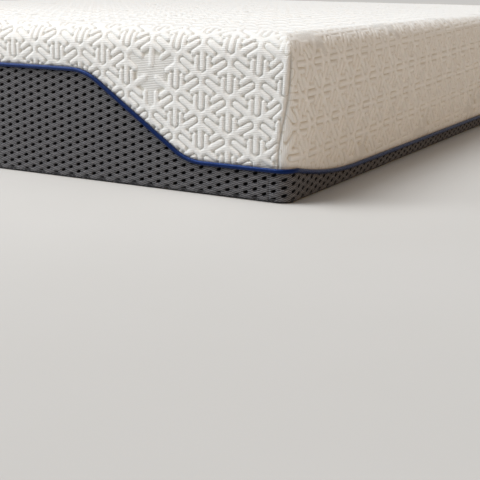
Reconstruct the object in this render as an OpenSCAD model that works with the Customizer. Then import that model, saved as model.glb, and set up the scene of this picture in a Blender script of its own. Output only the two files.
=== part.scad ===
// Memory foam mattress with a zip-off cover: knit top, mesh border, piping, fire sock and three foams.
// Millimetres, +Z up. The origin is on the floor under the middle; the foot end is at -Y.

/* [Mattress] */
// Overall width, over the piping
mattress_w = 1524; // [900:1:2000]
// Overall length, over the piping
mattress_l = 2032; // [1800:1:2200]
// Overall thickness
mattress_t = 254; // [240:1:320]
// Radius of the upright corners, in plan
corner_r = 22; // [16:1:40]
// Radius of the edge all round the top
top_edge_r = 30; // [16:1:50]

/* [Seam line between knit and mesh] */
// Height of the seam over the middle of the foot and head ends
seam_high = 182; // [140:1:190]
// Height of the seam at the corners
seam_corner = 50; // [48:1:60]
// Height of the seam along the sides
seam_low = 24; // [20:1:40]
// Distance from the corner at which the seam starts to rise
rise_start = 147; // [60:1:200]
// Slope of the rise, in degrees
rise_slope = 34; // [25:1:45]
// Radius of the bends at both ends of the rise
rise_bend_r = 95; // [40:1:110]
// Length over which the seam drops away from the corner along a side
drop_length = 240; // [120:1:400]

/* [Cover fabrics] */
// Thickness of the lofty knit face, over its raised bars
knit_t = 4; // [2:0.5:4]
// Thickness of the fibre padding behind the knit
padding_t = 4; // [3:0.5:5]
// Thickness of the backing scrim behind the padding
backing_t = 1; // [0.5:0.5:1]
// Thickness of the spacer mesh
mesh_t = 5; // [4:0.5:5]
// Thickness of the bottom panel
bottom_t = 2; // [1:0.5:3]
// Height of the bottom panel's turned-up hem
hem_h = 5; // [4:0.5:6]
// Distance from the corner to the upright joint between two mesh panels
mesh_joint = 32; // [30:1:50]
// Thickness of the tapes behind the corner seams
seam_tape_t = 1; // [0.5:0.5:1]

/* [Piping] */
// Outer diameter of the piping
piping_d = 6.6; // [5:0.2:7]
// Thickness of the fabric that wraps the piping cord
piping_wrap_t = 0.6; // [0.4:0.1:0.8]

/* [Core] */
// Thickness of the fire sock
sock_t = 1.5; // [1:0.5:2]
// Thickness of the memory foam
comfort_t = 75; // [50:1:90]
// Thickness of the transition foam
transition_t = 50; // [30:1:60]
// Thickness of each glue film
glue_t = 0.5; // [0.5:0.1:1]

/* [Zip] */
// Half the length of the zip opening in the head end
zip_half = 700; // [300:1:700]
// Height of the zip's middle
zip_z = 20; // [18:1:22]
// Width of one zip tape
zip_tape_w = 14; // [12:1:14]
// Width of one nylon coil
coil_w = 2.4; // [2:0.1:3]
// Thickness of the coils
coil_t = 2.8; // [2.4:0.1:3]
// Length of the slider along the zip
slider_l = 16; // [14:1:20]
// Length of the pull from its pin to its end
pull_l = 26; // [20:1:32]

/* [Hidden] */
$fn = 48;

// Clearances
fit = 0.1;           // between the piping and what it is sewn to
slack = 1.4;         // between the cover and the sock, where the seam tapes lie
run_gap = 0.3;       // between the zip's slider and the parts it runs past
beyond = 10;         // how far a cutting shape runs past what it cuts

// The body is the cover without its piping
piping_r = piping_d / 2;
piping_out = piping_r + fit;                    // from the cover's face to the piping's middle
half_w = mattress_w / 2 - piping_out - piping_r;
half_l = mattress_l / 2 - piping_out - piping_r;
cover_t = knit_t + padding_t + backing_t;
lining_t = cover_t - mesh_t;
flange_h = 2 * piping_wrap_t + 2 * fit;         // the two folded layers with the slit between them
seam_gap = flange_h + 2 * fit;                  // between the knit's edge and the mesh's edge

// Foam stack
sock_inset = cover_t + slack;
foam_inset = sock_inset + sock_t;
foam_low = bottom_t + sock_t;
foam_high = mattress_t - cover_t - sock_t;
comfort_low = foam_high - comfort_t;
transition_low = comfort_low - glue_t - transition_t;
core_high = transition_low - glue_t;

// Rise of the seam: an arc, a straight slope and an arc, as [distance from corner, height]
bend_steps = 6;
bend_dz = rise_bend_r * (1 - cos(rise_slope));
slope_length = (seam_high - seam_corner - 2 * bend_dz) / tan(rise_slope);
rise_end = rise_start + 2 * rise_bend_r * sin(rise_slope) + slope_length;
rise_points = concat(
    [for (i = [0 : bend_steps]) let (a = rise_slope * i / bend_steps)
        [rise_start + rise_bend_r * sin(a), seam_corner + rise_bend_r * (1 - cos(a))]],
    [for (i = [bend_steps : -1 : 0]) let (a = rise_slope * i / bend_steps)
        [rise_end - rise_bend_r * sin(a), seam_high - rise_bend_r * (1 - cos(a))]]);

// Drop of the seam along a side: a parabola that starts where the corner's arc ends
drop_steps = 8;
drop_points = [for (i = [0 : drop_steps]) let (u = i / drop_steps)
    [corner_r + drop_length * u, seam_low + (seam_corner - seam_low) * pow(1 - u, 2)]];

// A quarter of the seam, from the middle of the foot end round the corner to the middle of the side.
// Each station is [point on the cover's face, direction outward].
corner_steps = 6;
quarter = concat(
    [for (i = [len(rise_points) - 1 : -1 : 0]) let (p = rise_points[i])
        [[half_w - p[0], -half_l, p[1]], [0, -1, 0]]],
    [for (i = [0 : corner_steps - 1]) let (a = 90 * i / corner_steps, n = [sin(a), -cos(a), 0])
        [[half_w - corner_r, corner_r - half_l, seam_corner] + corner_r * n, n]],
    [for (p = drop_points) [[half_w, p[0] - half_l, p[1]], [1, 0, 0]]]);
function flip(v, sx, sy) = [v[0] * sx, v[1] * sy, v[2]];
function flipped(path, sx, sy) = [for (s = path) [flip(s[0], sx, sy), flip(s[1], sx, sy)]];
function reversed(path) = [for (i = [len(path) - 1 : -1 : 0]) path[i]];
seam = concat(quarter, reversed(flipped(quarter, 1, -1)),
              flipped(quarter, -1, -1), reversed(flipped(quarter, -1, 1)));

// Zip, measured outward from the cover's face at the head end
tape_t = 1;
coil_out = -0.4;
tape_out = coil_out - coil_t;
coil_gap = 1;                                   // half the slit between the two coils
plate_t = 1.2;
front_plate_in = coil_out + run_gap;
back_plate_out = tape_out - tape_t - run_gap;
plate_out = front_plate_in + plate_t;
slider_w = 10;
stop_l = 4;
stop_x = zip_half - 8;                          // inner end of each end stop
rest_x = -(stop_x - slider_l / 2 - 1);          // the slider rests at the closed end
pin_r = 0.8;
pin_out = plate_out + 0.95;
bridge_gap = 1.9;                               // room for the pin under the bridge
bridge_w = 2.4;
bridge_half = 3.7;
bridge_bar = 1;

// ---------- shapes ----------

// Rectangle with round corners, centred
module rounded_plan(hw, hl, r) {
    square([2 * hw, 2 * (hl - r)], center = true);
    square([2 * (hw - r), 2 * hl], center = true);
    for (x = [-1, 1], y = [-1, 1]) translate([x * (hw - r), y * (hl - r)]) circle(r);
}

// Upright profile of the body, with round top corners
module rounded_top(half, low, high, r) {
    translate([-half, low]) square([2 * half, high - r - low]);
    translate([r - half, low]) square([2 * (half - r), high - low]);
    for (x = [-1, 1]) translate([x * (half - r), high - r]) circle(r);
}

// The body shrunk by side_inset all round and by top_inset on top, down to the height low
module body_block(side_inset, top_inset, low) {
    hw = half_w - side_inset;
    hl = half_l - side_inset;
    high = mattress_t - top_inset;
    edge_r = top_edge_r - max(side_inset, top_inset);
    intersection() {
        translate([0, 0, low]) linear_extrude(high - low) rounded_plan(hw, hl, corner_r - side_inset);
        rotate([90, 0, 0]) linear_extrude(2 * hl + beyond, center = true)
            rounded_top(hw, low - beyond, high, edge_r);
        rotate([90, 0, 90]) linear_extrude(2 * hw + beyond, center = true)
            rounded_top(hl, low - beyond, high, edge_r);
    }
}

// A layer of the cover between two insets, open below
module cover_shell(outer, inner, low) {
    difference() {
        body_block(outer, outer, low);
        body_block(inner, inner, low - beyond);
    }
}

// Area under the seam across an end or a side: half is to the corner, points run away from it
module under_line(half, points, lift) {
    left = [for (p = points) [p[0] - half, p[1] + lift]];
    right = [for (i = [len(points) - 1 : -1 : 0]) let (p = points[i]) [half - p[0], p[1] + lift]];
    polygon(concat([[-half - beyond, -beyond], [-half - beyond, seam_corner + lift]], left, right,
                   [[half + beyond, seam_corner + lift], [half + beyond, -beyond]]));
}

// Everything in the four walls that is lower than the seam plus lift
module under_seam(lift) {
    for (s = [-1, 1]) {
        translate([0, s * (half_l - corner_r / 2 + beyond / 2), 0]) rotate([90, 0, 0])
            linear_extrude(corner_r + beyond, center = true) under_line(half_w, rise_points, lift);
        translate([s * (half_w - corner_r / 2 + beyond / 2), 0, 0]) rotate([90, 0, 90])
            linear_extrude(corner_r + beyond, center = true) under_line(half_l, drop_points, lift);
    }
}

// Closed tube whose rings all have the same number of points
module swept_ring(rings) {
    n = len(rings);
    m = len(rings[0]);
    faces = [for (i = [0 : n - 1], j = [0 : m - 1], k = [0, 1])
        let (a = i * m + j, b = i * m + (j + 1) % m,
             c = ((i + 1) % n) * m + j, d = ((i + 1) % n) * m + (j + 1) % m)
        k == 0 ? [a, b, d] : [a, d, c]];
    polyhedron([for (ring = rings) each ring], faces);
}

// Direction of the seam at station i
function seam_dir(i) = let (n = len(seam),
    d = seam[(i + 1) % n][0] - seam[(i + n - 1) % n][0]) d / norm(d);

// A round section of the piping at station i, as points at the angles given
function round_points(i, r, angles) = let (out = seam[i][1], up = cross(out, seam_dir(i)),
    middle = seam[i][0] + piping_out * out)
    [for (a = angles) middle + r * cos(a) * out + r * sin(a) * up / norm(up)];

// A point of the flange at station i: how far in from the piping's middle, and how high
function flange_point(i, inward, high) =
    seam[i][0] + (piping_out - inward) * seam[i][1] + [0, 0, high];

// Box from its lowest to its highest corner
module span(low, high) {
    translate(low) cube(high - low);
}

// ---------- cover ----------

module knit_face() {
    color("#e9e7e1") difference() {
        cover_shell(0, knit_t, 0);
        under_seam(seam_gap / 2);
    }
}

module quilt_padding() {
    color("#f3f1ea") difference() {
        cover_shell(knit_t, knit_t + padding_t, 0);
        under_seam(seam_gap / 2);
    }
}

module quilt_backing() {
    color("#dcd8cd") difference() {
        cover_shell(knit_t + padding_t, cover_t, 0);
        under_seam(seam_gap / 2);
    }
}

// Four tapes, one behind each upright corner seam
module corner_seam_tapes() {
    low = seam_corner + 8;
    high = mattress_t - top_edge_r - 8;
    color("#cfcabd") intersection() {
        cover_shell(cover_t, cover_t + seam_tape_t, 0);
        for (x = [-1, 1], y = [-1, 1])
            translate([x * (half_w - corner_r / 2), y * (half_l - corner_r / 2), (low + high) / 2])
                cube([corner_r, corner_r, high - low], center = true);
    }
}

// Fabric strip folded round the cord, with both edges running inward as a flange
module piping_sleeve() {
    inner_r = piping_r - piping_wrap_t;
    tail = piping_out + cover_t;
    mouth = 25;                                 // half angle at which the strip turns into the flange
    outer_steps = 10;
    inner_steps = 10;
    outer_angles = [for (i = [0 : outer_steps]) 180 - mouth - (360 - 2 * mouth) * i / outer_steps];
    inner_angles = [for (i = [0 : inner_steps]) 180 + mouth + (360 - 2 * mouth) * i / inner_steps];
    color("#1d2440") swept_ring([for (i = [0 : len(seam) - 1]) concat(
        [flange_point(i, tail, flange_h / 2), flange_point(i, piping_out, flange_h / 2)],
        round_points(i, piping_r, outer_angles),
        [flange_point(i, piping_out, -flange_h / 2), flange_point(i, tail, -flange_h / 2),
         flange_point(i, tail, -fit), flange_point(i, piping_r, -fit)],
        round_points(i, inner_r, inner_angles),
        [flange_point(i, piping_r, fit), flange_point(i, tail, fit)])]);
}

module piping_cord() {
    sides = 10;
    angles = [for (j = [0 : sides - 1]) -360 * j / sides];
    cord_r = piping_r - piping_wrap_t - 3 * fit;
    color("#e4e0d6") swept_ring([for (i = [0 : len(seam) - 1]) round_points(i, cord_r, angles)]);
}

// The mesh all round, from the bottom panel's hem to the seam
module mesh_ring() {
    intersection() {
        cover_shell(0, mesh_t, hem_h);
        under_seam(-seam_gap / 2);
    }
}

// Half the width of the foot and head panels: the side panels wrap round the corners to meet them
end_panel_half = half_w - mesh_joint;

module end_panel(side) {
    intersection() {
        mesh_ring();
        translate([0, side * half_l, mattress_t / 2])
            cube([2 * end_panel_half, 2 * corner_r, 2 * mattress_t], center = true);
    }
}

module side_panel(side) {
    intersection() {
        mesh_ring();
        translate([side * (end_panel_half + mesh_joint), 0, mattress_t / 2])
            cube([2 * mesh_joint, 2 * half_l + beyond, 2 * mattress_t], center = true);
    }
}

module mesh_border_foot() {
    color("#4a4b4e") end_panel(-1);
}

module mesh_border_head() {
    color("#4a4b4e") difference() {
        end_panel(1);
        span([-zip_half, half_l - beyond, 0], [zip_half, half_l + beyond, zip_z + coil_gap + zip_tape_w]);
    }
}

module mesh_border_left() {
    color("#4a4b4e") side_panel(-1);
}

module mesh_border_right() {
    color("#4a4b4e") side_panel(1);
}

// Padded lining behind the mesh, cut away behind the zip so that the slider has room
module border_lining() {
    spare = 3;
    color("#6b6b6d") difference() {
        intersection() {
            cover_shell(mesh_t, cover_t, bottom_t);
            under_seam(-seam_gap / 2);
        }
        span([-zip_half - spare, half_l - 2 * cover_t, 0],
             [zip_half + spare, half_l + beyond, zip_z + coil_gap + zip_tape_w + spare]);
    }
}

// Bottom fabric with its edge turned up as a hem that the mesh is sewn to
module bottom_panel() {
    color("#3a3a3c") {
        linear_extrude(bottom_t) rounded_plan(half_w, half_l, corner_r);
        translate([0, 0, bottom_t]) linear_extrude(hem_h - bottom_t) difference() {
            rounded_plan(half_w, half_l, corner_r);
            rounded_plan(half_w - mesh_t, half_l - mesh_t, corner_r - mesh_t);
        }
    }
}

// Blank label that hangs from the seam at the head end
module care_label() {
    label_w = 60;
    label_h = 88;
    label_t = 0.8;
    label_x = 250;
    label_top = seam_high - piping_r - 2;
    color("#f2f0ea") span([label_x, half_l, label_top - label_h],
                          [label_x + label_w, half_l + label_t, label_top]);
}

// ---------- zip in the head end ----------

module zip_tape(side) {
    near = coil_gap;
    far = coil_gap + zip_tape_w;
    translate([-zip_half, half_l + tape_out - tape_t, zip_z + (side > 0 ? near : -far)])
        cube([2 * zip_half, tape_t, zip_tape_w]);
}

module zip_tape_upper() {
    color("#2b2b2e") zip_tape(1);
}

module zip_tape_lower() {
    color("#2b2b2e") zip_tape(-1);
}

module zip_coil(side) {
    near = coil_gap;
    translate([-stop_x + 1, half_l + tape_out, zip_z + (side > 0 ? near : -near - coil_w)])
        cube([2 * stop_x - 2, coil_t, coil_w]);
}

module zip_coil_upper() {
    color("#1f1f22") zip_coil(1);
}

module zip_coil_lower() {
    color("#1f1f22") zip_coil(-1);
}

// A metal clip across both coils at each end
module zip_end_stops() {
    stop_half = coil_gap + coil_w + 0.4;
    color("#8d8f92") for (s = [-1, 1])
        translate([s * (stop_x + stop_l / 2), half_l + tape_out + coil_t / 2, zip_z])
            cube([stop_l, coil_t, 2 * stop_half], center = true);
}

// Outline of a slider plate: straight at the tail, round at the nose
module plate_outline() {
    translate([-slider_l / 2, -slider_w / 2]) square([slider_l - slider_w / 2, slider_w]);
    translate([(slider_l - slider_w) / 2, 0]) circle(slider_w / 2);
}

// Things drawn in the zip's own plane: x along the zip, y up, z outward from the cover's face
module at_zip(x) {
    translate([x, half_l, zip_z]) rotate([90, 0, 0]) mirror([0, 0, 1]) children();
}

module zip_slider() {
    flange_in = tape_out + 0.4;
    flange_low = coil_gap + coil_w + run_gap;
    post_half = coil_gap - run_gap;
    post_l = 4;
    color("#9a9ca0") at_zip(rest_x) {
        translate([0, 0, front_plate_in]) linear_extrude(plate_t) plate_outline();
        translate([0, 0, back_plate_out - plate_t]) linear_extrude(plate_t) plate_outline();
        span([slider_l / 2 - 2 - post_l, -post_half, back_plate_out],
             [slider_l / 2 - 2, post_half, front_plate_in]);
        for (s = [-1, 1]) mirror([0, s > 0 ? 0 : 1, 0])
            span([-slider_l / 2, flange_low, flange_in],
                 [slider_l / 2 - slider_w / 2, slider_w / 2, front_plate_in]);
        for (s = [-1, 1]) mirror([s > 0 ? 0 : 1, 0, 0])
            span([bridge_half - bridge_bar, -bridge_w / 2, plate_out],
                 [bridge_half, bridge_w / 2, plate_out + bridge_gap + bridge_bar]);
        span([bridge_bar - bridge_half, -bridge_w / 2, plate_out + bridge_gap],
             [bridge_half - bridge_bar, bridge_w / 2, plate_out + bridge_gap + bridge_bar]);
    }
}

// Flat tab with a pin across two arms; the pin turns under the slider's bridge
module zip_pull() {
    tab_t = 1.2;
    tab_w = 7;
    tab_start = 6.2;
    arm_in = bridge_w / 2 + 0.5;
    hole_r = 1.8;
    color("#b4b6b9") at_zip(rest_x) translate([0, 0, pin_out]) {
        translate([0, -tab_w / 2, 0]) rotate([-90, 0, 0]) cylinder(r = pin_r, h = tab_w);
        for (s = [-1, 1]) mirror([0, s > 0 ? 0 : 1, 0])
            span([0, arm_in, -tab_t / 2], [tab_start, tab_w / 2, tab_t / 2]);
        translate([0, 0, -tab_t / 2]) linear_extrude(tab_t) difference() {
            union() {
                translate([tab_start, -tab_w / 2]) square([pull_l - tab_w / 2 - tab_start, tab_w]);
                translate([pull_l - tab_w / 2, 0]) circle(tab_w / 2);
            }
            translate([pull_l - tab_w / 2, 0]) circle(hole_r);
        }
    }
}

// ---------- sock and foams ----------

// Knitted top and walls of the fire sock
module fire_sock() {
    color("#f6f5f1") difference() {
        body_block(sock_inset, cover_t, foam_low);
        body_block(foam_inset, cover_t + sock_t, foam_low - beyond);
    }
}

// Non-woven base of the sock, sewn to its walls
module fire_sock_base() {
    color("#ebe9e3") translate([0, 0, bottom_t]) linear_extrude(sock_t)
        rounded_plan(half_w - sock_inset, half_l - sock_inset, corner_r - sock_inset);
}

// Flat sheet or block of the foam stack between two heights
module foam_sheet(low, high) {
    translate([0, 0, low]) linear_extrude(high - low)
        rounded_plan(half_w - foam_inset, half_l - foam_inset, corner_r - foam_inset);
}

module comfort_foam() {
    color("#cfe3ea") body_block(foam_inset, cover_t + sock_t, comfort_low);
}

module glue_film_upper() {
    color("#efe9c9") foam_sheet(comfort_low - glue_t, comfort_low);
}

module transition_foam() {
    color("#f4efe0") foam_sheet(transition_low, comfort_low - glue_t);
}

module glue_film_lower() {
    color("#efe9c9") foam_sheet(core_high, transition_low);
}

module core_foam() {
    color("#d9d9d6") foam_sheet(foam_low, core_high);
}

knit_face();
quilt_padding();
quilt_backing();
corner_seam_tapes();
piping_sleeve();
piping_cord();
mesh_border_foot();
mesh_border_head();
mesh_border_left();
mesh_border_right();
border_lining();
bottom_panel();
zip_tape_upper();
zip_tape_lower();
zip_coil_upper();
zip_coil_lower();
zip_end_stops();
zip_slider();
zip_pull();
care_label();
fire_sock();
fire_sock_base();
comfort_foam();
glue_film_upper();
transition_foam();
glue_film_lower();
core_foam();
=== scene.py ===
"""Memory foam mattress: the looks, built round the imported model. Metres, +Z up, the foot end at -Y."""

import math

import bpy
import numpy as np
from mathutils import Matrix, Vector


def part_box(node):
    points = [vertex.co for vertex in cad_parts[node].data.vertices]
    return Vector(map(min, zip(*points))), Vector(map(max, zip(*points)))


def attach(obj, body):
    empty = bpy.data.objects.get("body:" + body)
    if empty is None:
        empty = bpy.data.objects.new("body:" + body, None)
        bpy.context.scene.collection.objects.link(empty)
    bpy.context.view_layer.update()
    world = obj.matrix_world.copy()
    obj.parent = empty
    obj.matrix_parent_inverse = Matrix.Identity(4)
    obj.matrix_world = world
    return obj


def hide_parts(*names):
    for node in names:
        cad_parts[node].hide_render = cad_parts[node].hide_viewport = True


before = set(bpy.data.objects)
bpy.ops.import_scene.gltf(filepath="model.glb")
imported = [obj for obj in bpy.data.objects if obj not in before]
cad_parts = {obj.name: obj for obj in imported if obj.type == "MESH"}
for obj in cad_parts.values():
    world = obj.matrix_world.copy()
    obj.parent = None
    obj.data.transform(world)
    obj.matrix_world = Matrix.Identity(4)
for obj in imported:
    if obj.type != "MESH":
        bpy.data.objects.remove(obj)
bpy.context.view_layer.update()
MM = 0.001

# ---------- sizes ----------

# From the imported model
HALF_W, HALF_L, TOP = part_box("knit_face")[1]
PIPING_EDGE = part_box("piping_sleeve")[1].x
PIPING_FIT = 0.1 * MM
PIPING_R = (PIPING_EDGE - HALF_W - PIPING_FIT) / 2
PIPING_OUT = PIPING_R + PIPING_FIT
PIPING_SWELL = 1.14                 # the soft cord is this much fatter than its plain solid
ZIP_LOW, ZIP_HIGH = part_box("zip_tape_lower")[0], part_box("zip_tape_upper")[1]
ZIP_HALF = ZIP_HIGH.x

# As part.scad has them
CORNER_R = 22 * MM
TOP_EDGE_R = 30 * MM
SEAM_HIGH = 182 * MM
SEAM_CORNER = 50 * MM
SEAM_LOW = 24 * MM
RISE_START = 147 * MM
RISE_SLOPE = math.radians(34)
RISE_BEND_R = 95 * MM
DROP_LENGTH = 240 * MM
MESH_JOINT = 32 * MM
PADDING_DEPTH = 4 * MM

# Quilt pattern: as it lies on an end's face, and as the hanging cloth stretches it elsewhere
HUB_GAP = 59.7 * MM                 # from one hub down to the next, on an end
HUB_GAP_LONG = 66 * MM              # the same along the top and the sides
COLUMN_GAP = 48.9 * MM              # from one column to the next, near the foot end's right corner
COLUMN_GAP_WIDE = 46.2 * MM         # the same further away
COLUMN_CHANGE = 150 * MM            # and where that starts, from the corner
COLUMN_GAP_SIDE = 46.7 * MM         # the same down the sides
HUB_STEPS = 24                      # lattice steps from one hub to the next
BAR_HALF = 4.0 * MM                 # half the width of a raised bar
WALL = 0.9 * MM                     # width of a bar's steep side
STEM = 13.0 * MM                    # from a hub to where a bar splits in three
MIDDLE_END = 46.3 * MM              # end of the middle prong, before its round cap
SIDE_PRONG = 22 * MM                # length of a side prong, before its cap
HUB_FROM_CORNER = 102.5 * MM        # a hub on the foot end, from the corner
HUB_HEIGHT = 152.4 * MM             # and its height
END_LEAN = 0.028                    # columns lean on an end, and along the top
TOP_LEAN = -0.034
ROW_LEAN = -0.013                   # rows lean across an end and the top, and down the sides
SIDE_LEAN = 0.14
BAR_TOP = 1.1 * MM                  # bars over the cover's face
GROOVE = -1.9 * MM                  # grooves under it
SHIFT_V = 14 * MM                   # pattern's shift along the sides, taken up over the end's top edge
SHIFT_U = 11 * MM                   # and down the sides
PATCH_EVERY = 5                     # hubs from one ribbed patch to the next
PATCH_HALF = 29 * MM                # from a patch's middle to its flat side
PATCH_ARM = 46 * MM                 # and to the end of the strips that take the middle prongs' places
PATCH_STRIP = 7 * MM                # half the width of those strips
PATCH_HUB = (-3, 1)                 # the first patch, in columns and half rows from that hub
SNAP_IN = -1.4 * MM                 # lattice points from here inside a bar's edge
SNAP_OUT = 0.25 * MM                # to here outside it move on to it
CROWN = 0.18                        # a bar's edge is lower than its middle by this share

# The cover's soft shape, over its nominal face
SHARP_CORNER_R = 9 * MM             # the corner's radius right under the top edge
PUFF = 2.4 * MM                     # the faces stand out between top edge and piping
PINCH = -1.3 * MM                   # the cloth is drawn in at the piping
PINCH_REACH = 9 * MM
CREASE = -2.0 * MM                  # the corner seam's groove
CREASE_WIDTH = 1.8 * MM
WELT = 0.3 * MM                     # a soft ridge along that groove
WELT_FROM_SEAM = 7 * MM
WELT_WIDTH = 4 * MM
TUCK = -1.6 * MM                    # the corner is drawn in over the piping
# width of the painted shade along the corner seam's crease
SEAM_SHADE_WIDTH = 1.6 * MM               # the seam's darker line
PUCKERS = 11                        # folds that fan out from the corner under the top edge
PUCKER_DEPTH = 0.6 * MM

# Spacer mesh
HOLE_PITCH_X = 15.8 * MM
HOLE_PITCH_Z = 12.3 * MM
HOLE_HALF_W = 3.9 * MM
HOLE_HALF_H = 2.35 * MM
HOLE_TILT = math.radians(24)
HOLE_RINGS = (                      # share of the way from rim to tile edge, height in mm, shrink
    (0, -3.5, 0.72), (0, -1.6, 0.9), (0, -0.3, 1.0), (0.16, 0.75, 1.0), (0.5, 0.9, 1.0), (1, 0.9, 1.0))
MESH_PUFF = 1.6 * MM
MESH_EDGE = -1.5 * MM               # the mesh is drawn in under the piping
MESH_JOINT_DIP = -1.2 * MM          # and at its joints

# Camera, fitted to the photograph
CAMERA_TURNS = (28.386, 14.307, 0.826)      # azimuth, pitch and roll in degrees
CAMERA_PLACE = (HALF_W + 0.657, -HALF_L - 1.366, 0.3307)
CAMERA_LENS = 77.17
CAMERA_SENSOR = 36


def smooth(low, high, x):
    """0 below low, 1 above high, and a smooth step between them."""
    t = np.clip((x - low) / (high - low), 0, 1)
    return t * t * (3 - 2 * t)


# ---------- camera ----------


def make_camera():
    azimuth, pitch, roll = (math.radians(a) for a in CAMERA_TURNS)
    level = math.cos(pitch)
    ahead = Vector((-math.sin(azimuth) * level, math.cos(azimuth) * level, -math.sin(pitch)))
    right = ahead.cross(Vector((0, 0, 1))).normalized()
    up = right.cross(ahead)
    across = right * math.cos(roll) + up * math.sin(roll)
    upright = up * math.cos(roll) - right * math.sin(roll)
    data = bpy.data.cameras.new("camera")
    data.sensor_width = CAMERA_SENSOR
    data.lens = CAMERA_LENS
    camera = bpy.data.objects.new("camera", data)
    turned_to = Matrix((across, upright, -ahead)).transposed().to_4x4()
    camera.matrix_world = Matrix.Translation(CAMERA_PLACE) @ turned_to
    bpy.context.scene.collection.objects.link(camera)
    bpy.context.scene.camera = camera


# ---------- mesh helpers ----------


def new_piece(name, points, faces, material, floats=(), vectors=()):
    """A smooth piece on the mattress, from arrays of points and of triangles or quads."""
    mesh = bpy.data.meshes.new(name)
    corners = faces.shape[1]
    mesh.vertices.add(len(points))
    mesh.vertices.foreach_set("co", points.astype(np.float32).ravel())
    mesh.loops.add(faces.size)
    mesh.loops.foreach_set("vertex_index", faces.astype(np.int32).ravel())
    mesh.polygons.add(len(faces))
    mesh.polygons.foreach_set("loop_start", np.arange(0, faces.size, corners, dtype=np.int32))
    for key, values in dict(floats).items():
        mesh.attributes.new(key, "FLOAT", "POINT").data.foreach_set("value", values.astype(np.float32))
    for key, values in dict(vectors).items():
        mesh.attributes.new(key, "FLOAT_VECTOR", "POINT").data.foreach_set(
            "vector", values.astype(np.float32).ravel())
    mesh.update(calc_edges=True)
    mesh.shade_smooth()
    piece = bpy.data.objects.new(name, mesh)
    bpy.context.scene.collection.objects.link(piece)
    mesh.materials.append(material)
    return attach(piece, "mattress")


def used_only(faces, *arrays):
    """Drops the points that no face uses, and renumbers the faces."""
    kept, numbers = np.unique(faces, return_inverse=True)
    return [numbers.reshape(faces.shape), *[a[kept] for a in arrays]]


def tri_area(points, faces):
    a, b, c = (points[faces[:, i]] for i in range(3))
    return np.linalg.norm(np.cross(b - a, c - a), axis=-1) / 2


# ---------- seam line ----------


def rise(s):
    """Height of the seam over an end, at the distance s from the corner."""
    reach = RISE_BEND_R * math.sin(RISE_SLOPE)
    bend = RISE_BEND_R * (1 - math.cos(RISE_SLOPE))
    straight = (SEAM_HIGH - SEAM_CORNER - 2 * bend) / math.tan(RISE_SLOPE)
    end = RISE_START + 2 * reach + straight
    low = SEAM_CORNER + RISE_BEND_R - np.sqrt(RISE_BEND_R**2 - np.clip(s - RISE_START, 0, reach) ** 2)
    high = SEAM_HIGH - RISE_BEND_R + np.sqrt(RISE_BEND_R**2 - np.clip(end - s, 0, reach) ** 2)
    middle = SEAM_CORNER + bend + (s - RISE_START - reach) * math.tan(RISE_SLOPE)
    return np.where(s < RISE_START + reach, low, np.where(s > end - reach, high, middle))


def drop(s):
    """Height of the seam along a side, at the distance s from the corner."""
    return SEAM_LOW + (SEAM_CORNER - SEAM_LOW) * (1 - np.clip((s - CORNER_R) / DROP_LENGTH, 0, 1)) ** 2


# ---------- knit cover ----------

FLAT_W = HALF_W - TOP_EDGE_R        # the flat top ends here
FLAT_L = HALF_L - TOP_EDGE_R
EDGE_ARC = TOP_EDGE_R * math.pi / 2


def corner_radius(down):
    """The corner is crisp under the flat top and rounder towards the piping."""
    turn = np.minimum(down / TOP_EDGE_R, math.pi / 2)
    widening = (CORNER_R - SHARP_CORNER_R) * smooth(60 * MM, 200 * MM, down)
    return SHARP_CORNER_R * np.sin(turn) + widening


def corner_turn(down, share):
    """How far round the corner a flap reaches. The seam leans on to the end, towards the piping."""
    return math.pi / 4 * (1 + share * 0.8 * smooth(50 * MM, 210 * MM, down))


def flap_place(along, down, half, other_half, share):
    """Where a flap's cloth lies: along is from the flap's middle, down from the flat top's edge.
    Returns across and out (in the flap's own directions), height, and the normal in the same order."""
    turn = np.minimum(down / TOP_EDGE_R, math.pi / 2)
    out = TOP_EDGE_R * np.sin(turn)
    height = TOP - TOP_EDGE_R * (1 - np.cos(turn)) - np.maximum(down - EDGE_ARC, 0)
    radius = np.maximum(corner_radius(down), 1e-7)
    arc_start = half + out - radius
    phi = np.clip((along - arc_start) / radius, 0, corner_turn(down, share))
    across = np.minimum(along, arc_start) + radius * np.sin(phi)
    outward = other_half + out - radius * (1 - np.cos(phi))
    return across, outward, height, np.sin(phi) * np.sin(turn), np.cos(phi) * np.sin(turn), np.cos(turn)


def flap_edge(down, half, share):
    """How far along a flap reaches, before the corner's seam."""
    turn = np.minimum(down / TOP_EDGE_R, math.pi / 2)
    return half + np.sin(turn) * TOP_EDGE_R - corner_radius(down) * (1 - corner_turn(down, share))


def flap_depth(along, half, height_at):
    """How far down a flap reaches, before the piping. height_at gives the seam, from the corner."""
    side = half + TOP_EDGE_R
    return EDGE_ARC + TOP - TOP_EDGE_R - height_at(np.maximum(side - along, 0)) - 0.3 * MM


def snapped(a, b, value, slope_a, slope_b, reach):
    """Moves the points near the line value = 0 onto it. Returns a, b and which points are past it."""
    size = slope_a**2 + slope_b**2
    near = np.abs(value) <= reach * np.sqrt(size)
    step = np.where(near, value / size, 0)
    return a - step * slope_a, b - step * slope_b, (value > 0) & ~near


def trim_flap(along, down, half, height_at, share, step):
    """Snaps a flap's lattice to the corner seam and to the piping, and tells what is cut off."""
    tiny = 0.1 * MM
    depth = flap_depth(along, half, height_at)
    slope = (flap_depth(along + tiny, half, height_at) - depth) / tiny
    along, down, below = snapped(along, down, down - depth, -slope, np.ones_like(slope), step / 2)
    edge = flap_edge(down, half, share)
    slope = (flap_edge(down + tiny, half, share) - edge) / tiny
    along, down, past = snapped(along, down, along - edge, np.ones_like(slope), -slope, step / 2)
    return along, np.maximum(down, 0), below | past


SQUEEZE = COLUMN_GAP / (HUB_GAP * math.sqrt(3) / 2)


def heading(angle):
    return np.array((math.cos(math.radians(angle)), math.sin(math.radians(angle))))


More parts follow.
